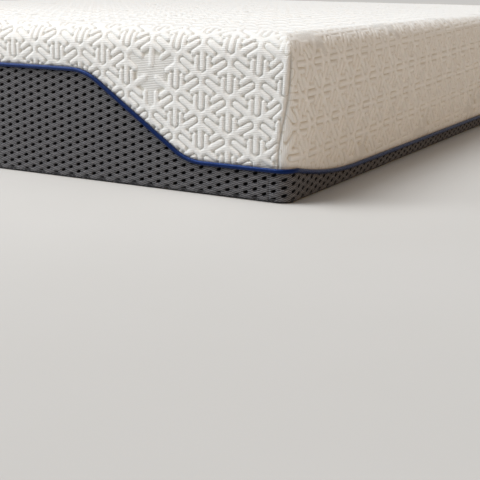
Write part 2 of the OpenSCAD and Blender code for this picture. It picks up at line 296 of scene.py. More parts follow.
def arm(angle):
    """A direction in the pattern, which is squeezed across."""
    return heading(angle) * (SQUEEZE, 1)


def to_segment(u, v, start, end):
    way = end - start
    t = np.clip(((u - start[0]) * way[0] + (v - start[1]) * way[1]) / (way @ way), 0, 1)
    return np.hypot(u - start[0] - t * way[0], v - start[1] - t * way[1])


def bar_distance(u, v, without_middle=False):
    """Distance from the nearest bar's axis, for points given from a hub, over one repeat."""
    nearest = np.full(u.shape, 1.0)
    for i in range(-2, 4):
        for j in range(-3, 4):
            if without_middle and i == 0 and j == 0:
                continue
            hub = np.array((i * COLUMN_GAP, (j + 0.5 * (i % 2)) * HUB_GAP))
            for angle in (270, 30, 150):
                fork = hub + STEM * arm(angle)
                ends = [(hub, hub + MIDDLE_END * arm(angle))]
                ends += [(fork, fork + SIDE_PRONG * arm(angle + side)) for side in (-60, 60)]
                for start, end in ends:
                    nearest = np.minimum(nearest, to_segment(u, v, start, end))
    return nearest


def settled(c, r, without_middle=False):
    """Moves lattice points to the nearest bar's edge, so that bars are crisp. c and r are columns and
    rows from a hub. Returns the moves, and the relief: 0 in the grooves, 1 on the bars."""
    wide, high = COLUMN_GAP / HUB_STEPS, HUB_GAP / HUB_STEPS
    x, y, tiny = c * wide, r * high, 0.05 * MM

    def past_edge(x, y):
        return bar_distance(x, y, without_middle) - BAR_HALF

    past = past_edge(x, y)
    slope_x = (past_edge(x + tiny, y) - past_edge(x - tiny, y)) / (2 * tiny)
    slope_y = (past_edge(x, y + tiny) - past_edge(x, y - tiny)) / (2 * tiny)
    goal = np.where((past > SNAP_IN) & (past < SNAP_OUT), 0, past)
    goal = np.where((past >= SNAP_OUT) & (past < WALL), WALL, goal)
    move_x, move_y = (goal - past) * slope_x, (goal - past) * slope_y
    past = past_edge(x + move_x, y + move_y)
    crown = 1 - CROWN * (1 + np.clip(past, -BAR_HALF, 0) / BAR_HALF) ** 2
    relief = crown * (1 - np.clip(past / WALL, 0, 1))
    return move_x / wide, move_y / high, relief


def waves(x, y, size, seed):
    """Soft unevenness between -1 and 1 whose waves are about size long."""
    rng = np.random.default_rng(seed)
    total = np.zeros(x.shape)
    angles, phases = rng.uniform(0, 180, 6), rng.uniform(0, 6.28, 6)
    stretched = rng.uniform(0.7, 1.5, 6)
    for angle, phase, stretch in zip(angles, phases, stretched):
        c, s = heading(angle)
        total += np.sin((x * c + y * s) * 2 * math.pi / (size * stretch) + phase)
    return total / 4


def between(values, *marks):
    """A straight line through the marks (place, count), inverted: where each count lies."""
    places, counts = np.array(marks).T
    return np.interp(values, counts, places)


def stretches(start, *parts):
    """Marks for between: a start (place, count), then parts of (length, steps a metre)."""
    place, count = start
    marks = [(place, count)]
    for length, rate in parts:
        place, count = place + length, count + length * rate
        marks.append((place, count))
    return marks


def knit_lattice():
    """The cover's cloth as a triangular lattice in line with the pattern: flat coordinates, faces,
    and the relief and ribbed patches at each point."""
    hub_u = HALF_W - HUB_FROM_CORNER
    hub_v = -(FLAT_L + EDGE_ARC + TOP - TOP_EDGE_R - HUB_HEIGHT)
    across, side = HUB_STEPS / COLUMN_GAP, HUB_STEPS / COLUMN_GAP_SIDE
    ends, long = HUB_STEPS / HUB_GAP, HUB_STEPS / HUB_GAP_LONG
    edge = 60 * MM
    shifted_u, shifted_v = side + SHIFT_U / edge * side, long + SHIFT_V / (2 * edge) * long
    count_u = (FLAT_W - hub_u) * across
    near = COLUMN_CHANGE - TOP_EDGE_R
    wide = HUB_STEPS / COLUMN_GAP_WIDE
    start = (FLAT_W, count_u)
    marks_u = stretches(start, (-near, across), (near - 2 * FLAT_W, wide), (-1, side))[:0:-1]
    marks_u += stretches(start, (edge, shifted_u), (1, side))
    count_v = (-FLAT_L - hub_v) * ends
    start = (-FLAT_L, count_v)
    marks_v = stretches(start, (-1, ends))[:0:-1]
    marks_v += stretches(start, (2 * edge, shifted_v), (2 * FLAT_L - 2 * edge, long), (1, ends))
    cols = np.arange(math.floor(marks_u[1][1] - 0.36 * side), math.ceil(count_u + 0.36 * side))
    rows = np.arange(math.floor(count_v - 0.32 * ends), math.ceil(marks_v[-2][1] + 0.32 * ends))
    col, row = np.meshgrid(cols, rows, indexing="ij")
    number = np.arange(col.size).reshape(col.shape)
    odd = (cols[:-1] % 2 == 1)[:, None]
    here, above = number[:-1, :-1], number[:-1, 1:]
    beside, beside_above = number[1:, :-1], number[1:, 1:]
    first = np.stack([here, beside, np.where(odd, beside_above, above)], -1)
    second = np.stack([np.where(odd, here, beside), beside_above, above], -1)
    faces = np.concatenate([first.reshape(-1, 3), second.reshape(-1, 3)])
    col, row = col.ravel(), row.ravel()
    move_c, move_r, relief, patch = knit_relief(col, row)
    count_c, count_r = col + move_c, row + 0.5 * (col % 2) + move_r
    u, v = between(count_c, *marks_u), between(count_r, *marks_v)
    lean_u = np.where(np.abs(v) > FLAT_L, END_LEAN * (v + np.sign(-v) * FLAT_L), 0)
    lean_u += TOP_LEAN * (np.clip(v, -FLAT_L, FLAT_L) + FLAT_L)
    past = np.sign(u) * np.maximum(np.abs(u) - FLAT_W, 0)
    lean_v = ROW_LEAN * (u - past - hub_u) + SIDE_LEAN * past
    lean_u -= END_LEAN * (hub_v + FLAT_L)
    return u + lean_u, v + lean_v, faces, relief, patch


def knit_relief(col, row):
    """Moves, relief and ribbed patches at the lattice's points, from one repeat of the pattern."""
    wide, high = 2 * HUB_STEPS, HUB_STEPS
    c, r = np.meshgrid(np.arange(wide), np.arange(high), indexing="ij")
    cells = [table[col % wide, row % high] for table in settled(c, r + 0.5 * (c % 2))]
    patch = np.zeros(col.shape)
    reach = 29
    c, r = np.meshgrid(np.arange(-reach, reach + 1), np.arange(-reach, reach + 1), indexing="ij")
    open_cells = settled(c, r + 0.5 * (c % 2), without_middle=True)
    x, y = c * COLUMN_GAP / HUB_STEPS, (r + 0.5 * (c % 2)) * HUB_GAP / HUB_STEPS
    widths = [np.abs(x / SQUEEZE * h[0] + y * h[1]) for h in map(heading, (0, 60, 120))]
    strips = [to_segment(x, y, np.zeros(2), PATCH_ARM * arm(angle)) for angle in (270, 30, 150)]
    past = np.minimum(np.max(widths, axis=0) - PATCH_HALF, np.min(strips, axis=0) - PATCH_STRIP)
    ribbed = 1 - smooth(-2.5 * MM, 1.5 * MM, past)
    for i in range(-8, 9):
        for j in range(-10, 11):
            middle_c = (PATCH_HUB[0] + PATCH_EVERY * i) * HUB_STEPS
            middle_r = (PATCH_HUB[1] + PATCH_EVERY * (2 * j + i % 2)) * HUB_STEPS // 2
            near = np.flatnonzero((np.abs(col - middle_c) <= reach) & (np.abs(row - middle_r) <= reach))
            at = (col[near] - middle_c + reach, row[near] - middle_r + reach)
            for cell, table in zip(cells, open_cells):
                cell[near] = table[at]
            patch[near] = ribbed[at]
    return (*cells, patch)


def make_knit_cover(material):
    u, v, faces, relief, patch = knit_lattice()
    step = HUB_GAP_LONG / HUB_STEPS
    over_u, over_v = np.abs(u) - FLAT_W, np.abs(v) - FLAT_L
    end = (over_v > 0) & (over_v >= over_u)
    side = (over_u > 0) & (over_u > over_v)
    points = np.stack([u, v, np.full(u.shape, float(TOP))], 1)
    normals = np.tile((0.0, 0.0, 1.0), (len(u), 1))
    cut = np.zeros(u.shape, bool)
    to_seam = np.full(u.shape, 1.0)      # along the cloth to the corner's seam
    to_piping = np.full(u.shape, 1.0)    # along the cloth to the piping
    fall = np.zeros(u.shape)             # down the cloth from the flat top
    flat = np.stack([u, v], 1)
    for where, lengthwise, half, other, height_at, share in (
            (end, 0, FLAT_W, FLAT_L, rise, -1), (side, 1, FLAT_L, FLAT_W, drop, 1)):
        here, there = flat[where, lengthwise], flat[where, 1 - lengthwise]
        along, down, gone = trim_flap(np.abs(here), np.abs(there) - other, half, height_at, share, step)
        across, outward, height, n_across, n_out, n_up = flap_place(along, down, half, other, share)
        points[where, lengthwise] = across * np.sign(here)
        points[where, 1 - lengthwise] = outward * np.sign(there)
        points[where, 2] = height
        normals[where, lengthwise] = n_across * np.sign(here)
        normals[where, 1 - lengthwise] = n_out * np.sign(there)
        normals[where, 2] = n_up
        flat[where, lengthwise] = along * np.sign(here)
        flat[where, 1 - lengthwise] = (down + other) * np.sign(there)
        cut[where] = gone
        to_seam[where] = flap_edge(down, half, share) - along
        to_piping[where] = flap_depth(along, half, height_at) - down
        fall[where] = down
    raised = cover_offset(relief, patch, side, points, to_seam, to_piping, fall)
    points += normals * raised[:, None]
    faces = faces[~cut[faces].any(1)]
    faces = faces[tri_area(points, faces) > 0.002 * step**2]
    # painted shade along the corner seam's crease, from where the crease starts
    seam = np.exp(-((to_seam / SEAM_SHADE_WIDTH) ** 2)) * smooth(36 * MM, 48 * MM, fall)
    faces, points, flat, relief, patch, seam = used_only(faces, points, flat, relief, patch, seam)
    flat3 = np.concatenate([flat, np.zeros((len(flat), 1))], 1)
    cloth = new_piece("knit_cover", points, faces, material,
                      floats={"relief": relief, "patch": patch, "seam": seam}, vectors={"cloth": flat3})
    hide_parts("knit_face")


def cover_offset(relief, patch, side, points, to_seam, to_piping, fall):
    """How far the cloth stands out from the cover's nominal face."""
    wall = smooth(0.2 * EDGE_ARC, EDGE_ARC, fall)
    height = np.maximum(to_piping + fall, 1e-4)
    share = np.clip(to_piping / np.maximum(height - 0.5 * EDGE_ARC, 1e-4), 0, 1)
    puff = wall * PUFF * np.sin(math.pi * share) ** 0.8
    pinch = PINCH * (1 - smooth(0, PINCH_REACH, to_piping))
    sewn = smooth(38 * MM, 60 * MM, fall)
    crease = sewn * (CREASE * np.exp(-((to_seam / CREASE_WIDTH) ** 2))
                     + WELT * np.exp(-(((to_seam - WELT_FROM_SEAM) / WELT_WIDTH) ** 2)))
    tuck = TUCK * (1 - smooth(0, 30 * MM, to_piping)) * (1 - smooth(0, 60 * MM, to_seam))
    quilt = GROOVE + (BAR_TOP - GROOVE) * np.maximum(relief, 0.5 * patch)
    hanging = (0.45 + 1.3 * smooth(30 * MM, 80 * MM, fall)) * smooth(5 * MM, 28 * MM, to_piping)
    lying = 1 - 0.55 * smooth(-80 * MM, 0, np.abs(points[:, 0]) - FLAT_W) * (fall == 0)
    quilt *= np.where(side, hanging, lying * smooth(0.5 * MM, 5 * MM, to_piping))
    corner = np.linalg.norm((HALF_W, HALF_L, TOP - 20 * MM) - np.abs(points), axis=1)
    quilt *= 0.3 + 0.7 * smooth(14 * MM, 50 * MM, corner)
    bare = np.where(side, 2 + 4 * sewn, 2) * MM
    quilt *= smooth(bare, 1.8 * bare + 2 * MM, to_seam)
    x, y = points[:, 0] + 0.7 * points[:, 2], points[:, 1] - 0.6 * points[:, 2]
    uneven = 0.5 * MM * waves(x, y, 0.16, 3) + 1.0 * MM * waves(x, y, 0.55, 4)
    from_corner = np.hypot(to_seam, fall - 30 * MM)
    pull = np.sin(PUCKERS * np.arctan2(fall - 24 * MM, to_seam + 6 * MM))
    pull *= np.exp(-((from_corner / (38 * MM)) ** 2))
    uneven += np.where(fall > 0, PUCKER_DEPTH * pull * smooth(10 * MM, 30 * MM, fall), 0)
    return np.maximum(quilt + puff + pinch + crease + tuck + uneven * (0.4 + 0.6 * (1 - wall)),
                      -PADDING_DEPTH + 0.3 * MM)


# ---------- spacer mesh border ----------

BORDER_LOW = 2.6 * MM               # the mesh runs down behind the bottom panel's turned-up edge
SIDE_STRAIGHT = HALF_L - CORNER_R
SIDE_CORNER = CORNER_R * math.pi / 2
SIDE_REACH = SIDE_STRAIGHT + SIDE_CORNER + MESH_JOINT - CORNER_R
END_REACH = HALF_W - MESH_JOINT


def end_place(t):
    """A point of an end's face, t from its middle: across, out, the normal's across and out, and the
    seam's height there."""
    one, zero = np.ones_like(t), np.zeros_like(t)
    return t, HALF_L * one, zero, one, rise(HALF_W - np.abs(t))


def side_place(t):
    """The same for a side's panel, which wraps round the corners on to the ends."""
    past = np.clip(np.abs(t) - SIDE_STRAIGHT, 0, SIDE_CORNER)
    beyond = np.maximum(np.abs(t) - SIDE_STRAIGHT - SIDE_CORNER, 0)
    phi = past / CORNER_R
    across = np.sign(t) * (np.minimum(np.abs(t), SIDE_STRAIGHT) + CORNER_R * np.sin(phi))
    out = HALF_W - CORNER_R * (1 - np.cos(phi)) - beyond
    seam = drop(HALF_L - np.abs(across))
    return across, out, np.sign(t) * np.sin(phi), np.cos(phi), seam


def hole_tile(pitch):
    """One hole of the mesh with the cloth round it: rings of points and the quads between them.
    Points are [across, up, height], from the hole's bottom rim out to the tile's edge."""
    per_side = 6
    edge = np.linspace(-1, 1, per_side + 1)[:-1]
    square = np.concatenate([
        np.stack([edge, -np.ones(per_side)], 1), np.stack([np.ones(per_side), edge], 1),
        np.stack([-edge, np.ones(per_side)], 1), np.stack([-np.ones(per_side), -edge], 1)])
    around = np.arctan2(square[:, 1], square[:, 0])
    c, s = math.cos(HOLE_TILT), math.sin(HOLE_TILT)
    rim = np.stack([HOLE_HALF_W * np.cos(around), HOLE_HALF_H * np.sin(around)], 1)
    rim = rim @ np.array(((c, s), (-s, c)))
    box = square * (pitch / 2, HOLE_PITCH_Z / 2)
    rings = []
    for share, height, shrink in HOLE_RINGS:
        ring = rim * shrink * (1 - share) + box * share
        slant = 2 * math.pi * (ring[:, 1] / HOLE_PITCH_Z - ring[:, 0] / (2 * pitch))
        broken = 0.2 * np.cos(2 * math.pi * (ring[:, 1] / HOLE_PITCH_Z + ring[:, 0] / (2 * pitch)))
        ridge = min(1, 2 * share) * (-0.3 * np.cos(slant) - broken)
        rings.append(np.column_stack([ring, (height + ridge) * MM]))
    count = len(box)
    i = np.arange(count)
    j = (i + 1) % count
    quads = [np.stack([k * count + i, (k + 1) * count + i, (k + 1) * count + j, k * count + j], 1)
             for k in range(len(rings) - 1)]
    return np.concatenate(rings), np.concatenate(quads)


def tiled(reach, top, first):
    """Tiles of the mesh from -reach to reach and up to the height top, welded: flat points and quads.
    Every other column is half a hole higher, starting with column first."""
    columns = 2 * round(reach / HOLE_PITCH_X - 0.5) + 1
    pitch = 2 * reach / columns
    tile, quads = hole_tile(pitch)
    points, faces = [], []
    for c in range(columns):
        middle = -reach + (c + 0.5) * pitch
        shift = HOLE_PITCH_Z / 2 * ((c + first) % 2)
        for r in range(-1, math.ceil(top / HOLE_PITCH_Z) + 1):
            faces.append(quads + len(points) * len(tile))
            points.append(tile + (middle, shift + r * HOLE_PITCH_Z, 0))
    points, faces = np.concatenate(points), np.concatenate(faces)
    _, kept, same = np.unique(np.round(points / (0.01 * MM)).astype(np.int64), axis=0,
                              return_index=True, return_inverse=True)
    return points[kept], same.reshape(-1)[faces]


def make_border(name, node, place, reach, turn, notch, material):
    """One panel of the mesh border. turn puts (across, out, up) in the frame, and notch, where there is
    one, is the zip's gap: half its width, and its height."""
    at_end = place is end_place
    flat, faces = tiled(reach, SEAM_HIGH if at_end else SEAM_CORNER, 0 if at_end else 1)
    t, z, relief = flat.T
    z = z.copy()
    seam = place(t)[4]
    cell = 1.1 * MM
    over, under = z - seam, BORDER_LOW - z
    z = np.where(np.abs(over) < cell, seam, z)
    z = np.where(np.abs(under) < cell, BORDER_LOW, z)
    cut = (z > seam + 1e-6) | (z < BORDER_LOW - 1e-6)
    if notch:
        half, high = notch
        t = np.where((np.abs(np.abs(t) - half) < 1.5 * cell) & (z < high), np.sign(t) * half, t)
        z = np.where((np.abs(t) < half + 1e-6) & (np.abs(z - high) < cell), high, z)
        cut |= (np.abs(t) < half - 1e-6) & (z < high - 1e-6)
    faces = faces[~cut[faces].any(1)]
    across, out, n_across, n_out, seam = place(t)
    share = np.clip((z - BORDER_LOW) / np.maximum(seam - BORDER_LOW, 1e-4), 0, 1)
    puff = MESH_PUFF * np.sin(math.pi * share) ** 0.7
    puff += MESH_EDGE * (1 - smooth(1 * MM, 6 * MM, seam - z))
    joint = MESH_JOINT_DIP * np.exp(-(((reach - np.abs(t)) / (1.2 * MM)) ** 2))
    shrink = smooth(0, 6 * MM, seam - z) * 0.7 + 0.3
    if notch:                            # sewn down round the zip, so that the pull swings clear of it
        beside, above = np.maximum(np.abs(t) - half, 0), np.maximum(z - high, 0)
        free = smooth(20 * MM, 40 * MM, np.hypot(beside, above))
        puff *= free
        shrink *= 0.7 + 0.3 * free
    offset = np.maximum(puff + joint + np.where(relief > 0, relief * shrink, relief), -3.6 * MM)
    points = turn(across + n_across * offset, out + n_out * offset, z)
    faces, points, t, z, relief = used_only(faces, points, t, z, relief)
    cloth = np.stack([t, z, relief], 1)
    piece = new_piece(name, points, faces, material,
                      floats={"relief": relief}, vectors={"cloth": cloth})
    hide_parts(node)
    samples = np.linspace(-reach, reach, 801)
    area = float((place(samples)[4] - BORDER_LOW).mean()) * 2 * reach
    if notch:
        area -= 2 * notch[0] * (notch[1] - BORDER_LOW)


def turned(lengthwise, sign):
    """Puts (across, out, up) in the frame. Lengthwise panels run along Y, on the side of the sign."""
    def place(across, out, up):
        if lengthwise:
            return np.stack([sign * out, sign * across, up], 1)
        return np.stack([-sign * across, sign * out, up], 1)
    return place


# ---------- piping and bottom panel ----------


def perimeter(step, height_of_end, height_of_side):
    """Points all round the cover's face, about step apart: [x, y, height], and directions outward."""
    x_straight, y_straight = HALF_W - CORNER_R, HALF_L - CORNER_R
    quarter = []
    for x in np.linspace(0, x_straight, math.ceil(x_straight / step) + 1)[:-1]:
        quarter.append((x, -HALF_L, height_of_end(HALF_W - x), 0, -1))
    turns = math.ceil(SIDE_CORNER / step)
    for i in range(turns):
        a = math.pi / 2 * i / turns
        quarter.append((x_straight + CORNER_R * math.sin(a), -y_straight - CORNER_R * math.cos(a),
                        height_of_side(CORNER_R), math.sin(a), -math.cos(a)))
    for y in np.linspace(-y_straight, 0, math.ceil(y_straight / step) + 1)[:-1]:
        quarter.append((HALF_W, y, height_of_side(HALF_L + y), 1, 0))
    quarter = np.array(quarter + [(HALF_W, 0, height_of_side(HALF_L), 1, 0)], float)
    back = quarter[::-1][1:] * (1, -1, 1, 1, -1)
    half = np.concatenate([quarter, back[:-1], [[0, HALF_L, height_of_end(HALF_W), 0, 1]]])
    other = (half[::-1][1:-1]) * (-1, 1, 1, -1, 1)
    loop = np.concatenate([half, other])
    return loop[:, :3], np.column_stack([loop[:, 3:], np.zeros(len(loop))])


def ring_faces(rings, around, loop=True, closed=True):
    """Quads between rings of points. loop joins the last ring to the first, closed each ring's ends."""
    i, j = np.meshgrid(np.arange(rings if loop else rings - 1),
                       np.arange(around if closed else around - 1), indexing="ij")
    i2, j2 = (i + 1) % rings, (j + 1) % around
    quads = np.stack([i * around + j, i2 * around + j, i2 * around + j2, i * around + j2], -1)
    return quads.reshape(-1, 4)


def triangles(quads):
    return np.concatenate([quads[:, [0, 1, 2]], quads[:, [0, 2, 3]]])


def make_piping(material):
    sides = 16
    base, out = perimeter(4 * MM, rise, drop)
    ahead = np.roll(base, -1, 0) - np.roll(base, 1, 0)
    ahead /= np.linalg.norm(ahead, axis=1)[:, None]
    up = np.cross(out, ahead)
    up /= np.linalg.norm(up, axis=1)[:, None]
    length = np.concatenate([[0], np.cumsum(np.linalg.norm(np.diff(base, axis=0), axis=1))])
    angles = 2 * math.pi * np.arange(sides) / sides
    swell = 1 - 0.03 * (0.5 + 0.5 * waves(length, np.zeros_like(length), 0.09, 7))
    radius = (PIPING_R * PIPING_SWELL * swell)[:, None]
    middle = base + out * PIPING_OUT
    points = (middle[:, None] + out[:, None] * (radius * np.cos(angles))[..., None]
              + up[:, None] * (radius * np.sin(angles))[..., None])
    cloth = np.stack(np.broadcast_arrays(length[:, None], angles * PIPING_R, 0.0), -1)
    piece = new_piece("piping", points.reshape(-1, 3), ring_faces(len(base), sides), material,
                      vectors={"cloth": cloth.reshape(-1, 3)})
    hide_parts("piping_sleeve")


def make_bottom(material):
    """Bottom fabric: flat below, with its edge turned up round a soft bend to a hem."""
    base, out = perimeter(8 * MM, lambda s: 0.0, lambda s: 0.0)
    profile = np.array([(-60, 0), (-4.5, 0), (-2.6, 0.3), (-1.0, 1.1), (0.1, 2.3), (0.9, 3.8),
                        (1.3, 5.4), (0.9, 6.4), (-0.2, 6.6), (-1.4, 6.0)]) * MM
    rings = base[:, None] + out[:, None] * profile[None, :, :1]
    rings[..., 2] = profile[:, 1]
    count, around = rings.shape[:2]
    points = np.concatenate([rings.reshape(-1, 3), [[0, 0, 0]]])
    inner = np.arange(count) * around
    fan = np.stack([np.roll(inner, -1), inner, np.full(count, len(points) - 1)], 1)
    faces = np.concatenate([triangles(ring_faces(count, around, closed=False)), fan])
    piece = new_piece("bottom_fabric", points, faces, material,
                      vectors={"cloth": points})
    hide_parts("bottom_panel")


# ---------- zip and label ----------


def make_coil(node, material):
    """One side of the zip's nylon coil: a helix of round wire in the place of the plain bar."""
    low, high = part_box(node)
    pitch, wire, turn_steps, sides = 2 * MM, 0.36 * MM, 8, 5
    turns = int((high.x - low.x - 2 * wire) / pitch)
    k = np.arange(turns * turn_steps + 1)
    angle = 2 * math.pi * k / turn_steps
    x = low.x + wire + k * pitch / turn_steps
    radial = np.stack([np.zeros_like(angle), np.cos(angle), np.sin(angle)], 1)
    middle = np.stack([x, (low.y + high.y) / 2 + ((high.y - low.y) / 2 - wire) * radial[:, 1],
                       (low.z + high.z) / 2 + ((high.z - low.z) / 2 - wire) * radial[:, 2]], 1)
    around = 2 * math.pi * np.arange(sides) / sides
    points = (middle[:, None] + wire * np.cos(around)[None, :, None] * radial[:, None]
              + wire * np.sin(around)[None, :, None] * np.array((1.0, 0, 0)))
    piece = new_piece(node + "_wire", points.reshape(-1, 3), ring_faces(len(k), sides, loop=False),
                      material)
    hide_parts(node)


def make_label(material):
    """Blank satin label, held in the seam at its top edge and hanging in a slight wave."""
    low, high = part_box("care_label")
    across, down = 25, 37
    a, d = np.meshgrid(np.linspace(0, 1, across), np.linspace(0, 1, down), indexing="ij")
    stand = 2.2 + 2.8 * smooth(0, 0.2, d) + 0.9 * np.sin(2.2 * math.pi * a + 2.5 * d) * d + 1.4 * d**3
    points = np.stack([high.x + (low.x - high.x) * a, HALF_L + stand * MM,
                       high.z + (low.z - high.z) * d + 0.6 * MM * np.sin(3 * a) * d], -1)
    cloth = np.stack([a * (high.x - low.x), d * (high.z - low.z), np.zeros_like(a)], -1)
    faces = ring_faces(across, down, loop=False, closed=False)
    piece = new_piece("label", points.reshape(-1, 3), faces, material,
                      vectors={"cloth": cloth.reshape(-1, 3)})
    thick = piece.modifiers.new("thickness", "SOLIDIFY")
    thick.thickness = 0.35 * MM
    thick.offset = 0
    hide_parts("care_label")


# ---------- materials ----------


def colour(red, green, blue):
    """A display colour from 0 to 255 as the linear colour that shaders take."""
    parts = [c / 255 for c in (red, green, blue)]
    return (*[c / 12.92 if c <= 0.04045 else ((c + 0.055) / 1.055) ** 2.4 for c in parts], 1)


class Finish:
    """A Principled material with short ways to add nodes."""

    def __init__(self, name, **sockets):
        self.material = bpy.data.materials.new(name)
        self.material.use_nodes = True
        self.tree = self.material.node_tree
        self.shader = self.tree.nodes["Principled BSDF"]
        for key, value in sockets.items():
            self.shader.inputs[key.replace("_", " ")].default_value = value

    def node(self, kind, inputs=(), **settings):
        made = self.tree.nodes.new("ShaderNode" + kind)
        for key, value in settings.items():
            setattr(made, key, value)
        for key, value in dict(inputs).items():
            if isinstance(value, bpy.types.NodeSocket):
                self.tree.links.new(value, made.inputs[key])
            elif value is not None:
                made.inputs[key].default_value = value
        return made

    def attribute(self, name, output="Fac"):
        return self.node("Attribute", attribute_name=name).outputs[output]

    def place(self):
        return self.node("NewGeometry").outputs["Position"]

    def math(self, operation, a, b=None, c=None):
        return self.node("Math", {0: a, 1: b, 2: c}, operation=operation).outputs[0]

    def scaled(self, vector, x, y, z):
        return self.node("VectorMath", {0: vector, 1: (x, y, z)}, operation="MULTIPLY").outputs[0]

    def noise(self, vector, size, detail=3.0, rough=0.5):
        return self.node("TexNoise", {"Vector": vector, "Scale": 1 / size, "Detail": detail,
                                      "Roughness": rough}).outputs["Fac"]

    def band(self, vector, axis, pitch):
        """Sine bands between 0 and 1 along an axis of the vector."""
        part = self.node("SeparateXYZ", {0: vector}).outputs[axis]
        wave = self.math("SINE", self.math("MULTIPLY", part, 2 * math.pi / pitch))
        return self.math("MULTIPLY_ADD", wave, 0.5, 0.5)

    def dots(self, vector, size, randomness=0.0):
        return self.node("TexVoronoi", {"Vector": vector, "Scale": 1 / size,
                                        "Randomness": randomness}).outputs["Distance"]

    def mix(self, share, a, b):
        return self.node("Mix", {0: share, 6: a, 7: b}, data_type="RGBA").outputs[2]

    def span(self, value, low, high, to_low=0.0, to_high=1.0):
        return self.node("MapRange", {0: value, 1: low, 2: high, 3: to_low, 4: to_high}).outputs[0]

    def bump(self, height, distance, strength=1.0, under=None):
        return self.node("Bump", {"Height": height, "Distance": distance, "Strength": strength,
                                  "Normal": under}).outputs["Normal"]

    def link(self, **sockets):
        for key, value in sockets.items():
            self.tree.links.new(value, self.shader.inputs[key.replace("_", " ")])
        return self


def knit_finish():
    """Lofty white jacquard: bars of fine knit rows, grooves with dots of stitches, ribbed patches."""
    f = Finish("knit", Roughness=0.92, Sheen_Weight=0.15, Sheen_Roughness=0.5, Specular_IOR_Level=0.15)
    cloth, relief, patch = f.attribute("cloth", "Vector"), f.attribute("relief"), f.attribute("patch")
    rows = f.band(cloth, "Y", 2.7 * MM)
    wales = f.band(cloth, "X", 1.9 * MM)
    loops = f.math("MULTIPLY", rows, f.math("MULTIPLY_ADD", wales, 0.35, 0.65))
    open_patch = f.math("MULTIPLY", patch, f.span(relief, 0.1, 0.7, 1.0, 0.0))
    # painted shade in the troughs between the ribbed patch's ribs
    rib_shade = f.math("MULTIPLY", f.span(rows, 0.0, 0.75, 1.0, 0.0), open_patch)
    stitch = f.span(f.dots(cloth, 2.6 * MM), 0.12, 0.34, 1.0, 0.0)
    high = f.math("MAXIMUM", relief, patch)
    stitched = f.math("MULTIPLY", stitch, f.span(high, 0.05, 0.5, 1.0, 0.0))
    # painted shade: the grooves are painted darker than the bars, following the cloth's relief
    tone = f.mix(f.span(high, 0.0, 0.7), colour(214, 212, 204), colour(233, 234, 233))
    tone = f.mix(f.math("MULTIPLY", stitched, 0.3), tone, colour(180, 175, 163))
    # painted shade: the hollows between the knit loops are painted a little darker
    loop_shade = f.math("MULTIPLY", f.span(loops, 0.0, 0.45, 1.0, 0.0), 0.16)
    tone = f.mix(loop_shade, tone, colour(196, 193, 185))
    # painted shade: the troughs between the ribs are painted darker
    tone = f.mix(f.math("MULTIPLY", rib_shade, 0.6), tone, colour(168, 166, 159))
    # painted shade in the corner seam's crease
    tone = f.mix(f.math("MULTIPLY", f.attribute("seam"), 0.5), tone, colour(138, 130, 116))
    tone = f.mix(f.span(f.noise(cloth, 0.12), 0.35, 0.7, 0.0, 0.2), tone, colour(226, 224, 219))
    normal = f.bump(f.mix(open_patch, loops, rows), 0.5 * MM, 0.8)
    normal = f.bump(stitch, 0.4 * MM, 0.4, normal)
    normal = f.bump(f.noise(cloth, 6 * MM, 4), 0.6 * MM, 0.5, normal)
    return f.link(Base_Color=tone, Normal=normal).material


def spacer_finish(name, light, dark):
    """Charcoal spacer mesh: fine knit on the pillows, with painted shade near black down in the holes
    and a painted highlight up on the pillows.
    """
    f = Finish(name, Roughness=0.9, Specular_IOR_Level=0.12)
    cloth, relief = f.attribute("cloth", "Vector"), f.attribute("relief")
    flat = f.scaled(cloth, 1, 1, 0)
    courses = f.band(flat, "Y", 1.3 * MM)
    wales = f.band(flat, "X", 1.2 * MM)
    yarn = f.math("MULTIPLY", courses, wales)
    # painted shade and highlight: the cloth is painted darker the lower it lies, near black down in the
    # holes, and lighter up on the pillows
    tone = f.mix(f.span(relief, -1.8 * MM, 0.0), colour(26, 26, 28), dark)
    tone = f.mix(f.span(relief, 0.45 * MM, 1.25 * MM), tone, light)
    tone = f.mix(f.span(yarn, 0.05, 0.5, 0.4, 0.0), tone, colour(22, 22, 24))
    across = f.node("VectorMath", {0: flat, 1: (-1 / (2 * HOLE_PITCH_X), 1 / HOLE_PITCH_Z, 0)},
                    operation="DOT_PRODUCT").outputs["Value"]
    wander = f.noise(flat, 5 * MM, 2)
    strand = f.math("SINE", f.math("MULTIPLY_ADD", across, 8 * math.pi, f.math("MULTIPLY", wander, 7)))
    # the slanting strands are painted lighter only up on the pillows: partly the strands' own pattern,
    # partly painted highlight
    strand = f.math("MULTIPLY", f.span(strand, -0.2, 0.9), f.span(relief, 0.0, 0.6 * MM))
    tone = f.mix(f.math("MULTIPLY", strand, 0.6), tone, colour(146, 146, 150))
    normal = f.bump(f.math("ADD", yarn, strand), 0.35 * MM, 0.9)
    return f.link(Base_Color=tone, Normal=normal).material


def piping_finish():
    """Navy satin cut on the bias round the cord: fine slanting threads and a soft sheen."""
    f = Finish("piping", Roughness=0.3, Specular_IOR_Level=0.62)
    f.shader.inputs["Specular Tint"].default_value = colour(60, 125, 235)
    cloth = f.attribute("cloth", "Vector")
    turned = f.node("VectorRotate", {"Vector": cloth, "Angle": math.radians(45)},
                    rotation_type="Z_AXIS").outputs[0]
    threads = f.band(turned, "X", 0.9 * MM)
    puckers = f.noise(f.scaled(cloth, 1, 0.25, 1), 7 * MM, 3)
    tone = f.mix(threads, colour(10, 18, 45), colour(18, 34, 80))
    tone = f.mix(f.span(puckers, 0.35, 0.75), tone, colour(13, 23, 56))
    normal = f.bump(threads, 0.12 * MM, 0.5)
    normal = f.bump(puckers, 0.9 * MM, 0.5, normal)
    rough = f.span(puckers, 0.3, 0.7, 0.26, 0.4)
    return f.link(Base_Color=tone, Normal=normal, Roughness=rough).material


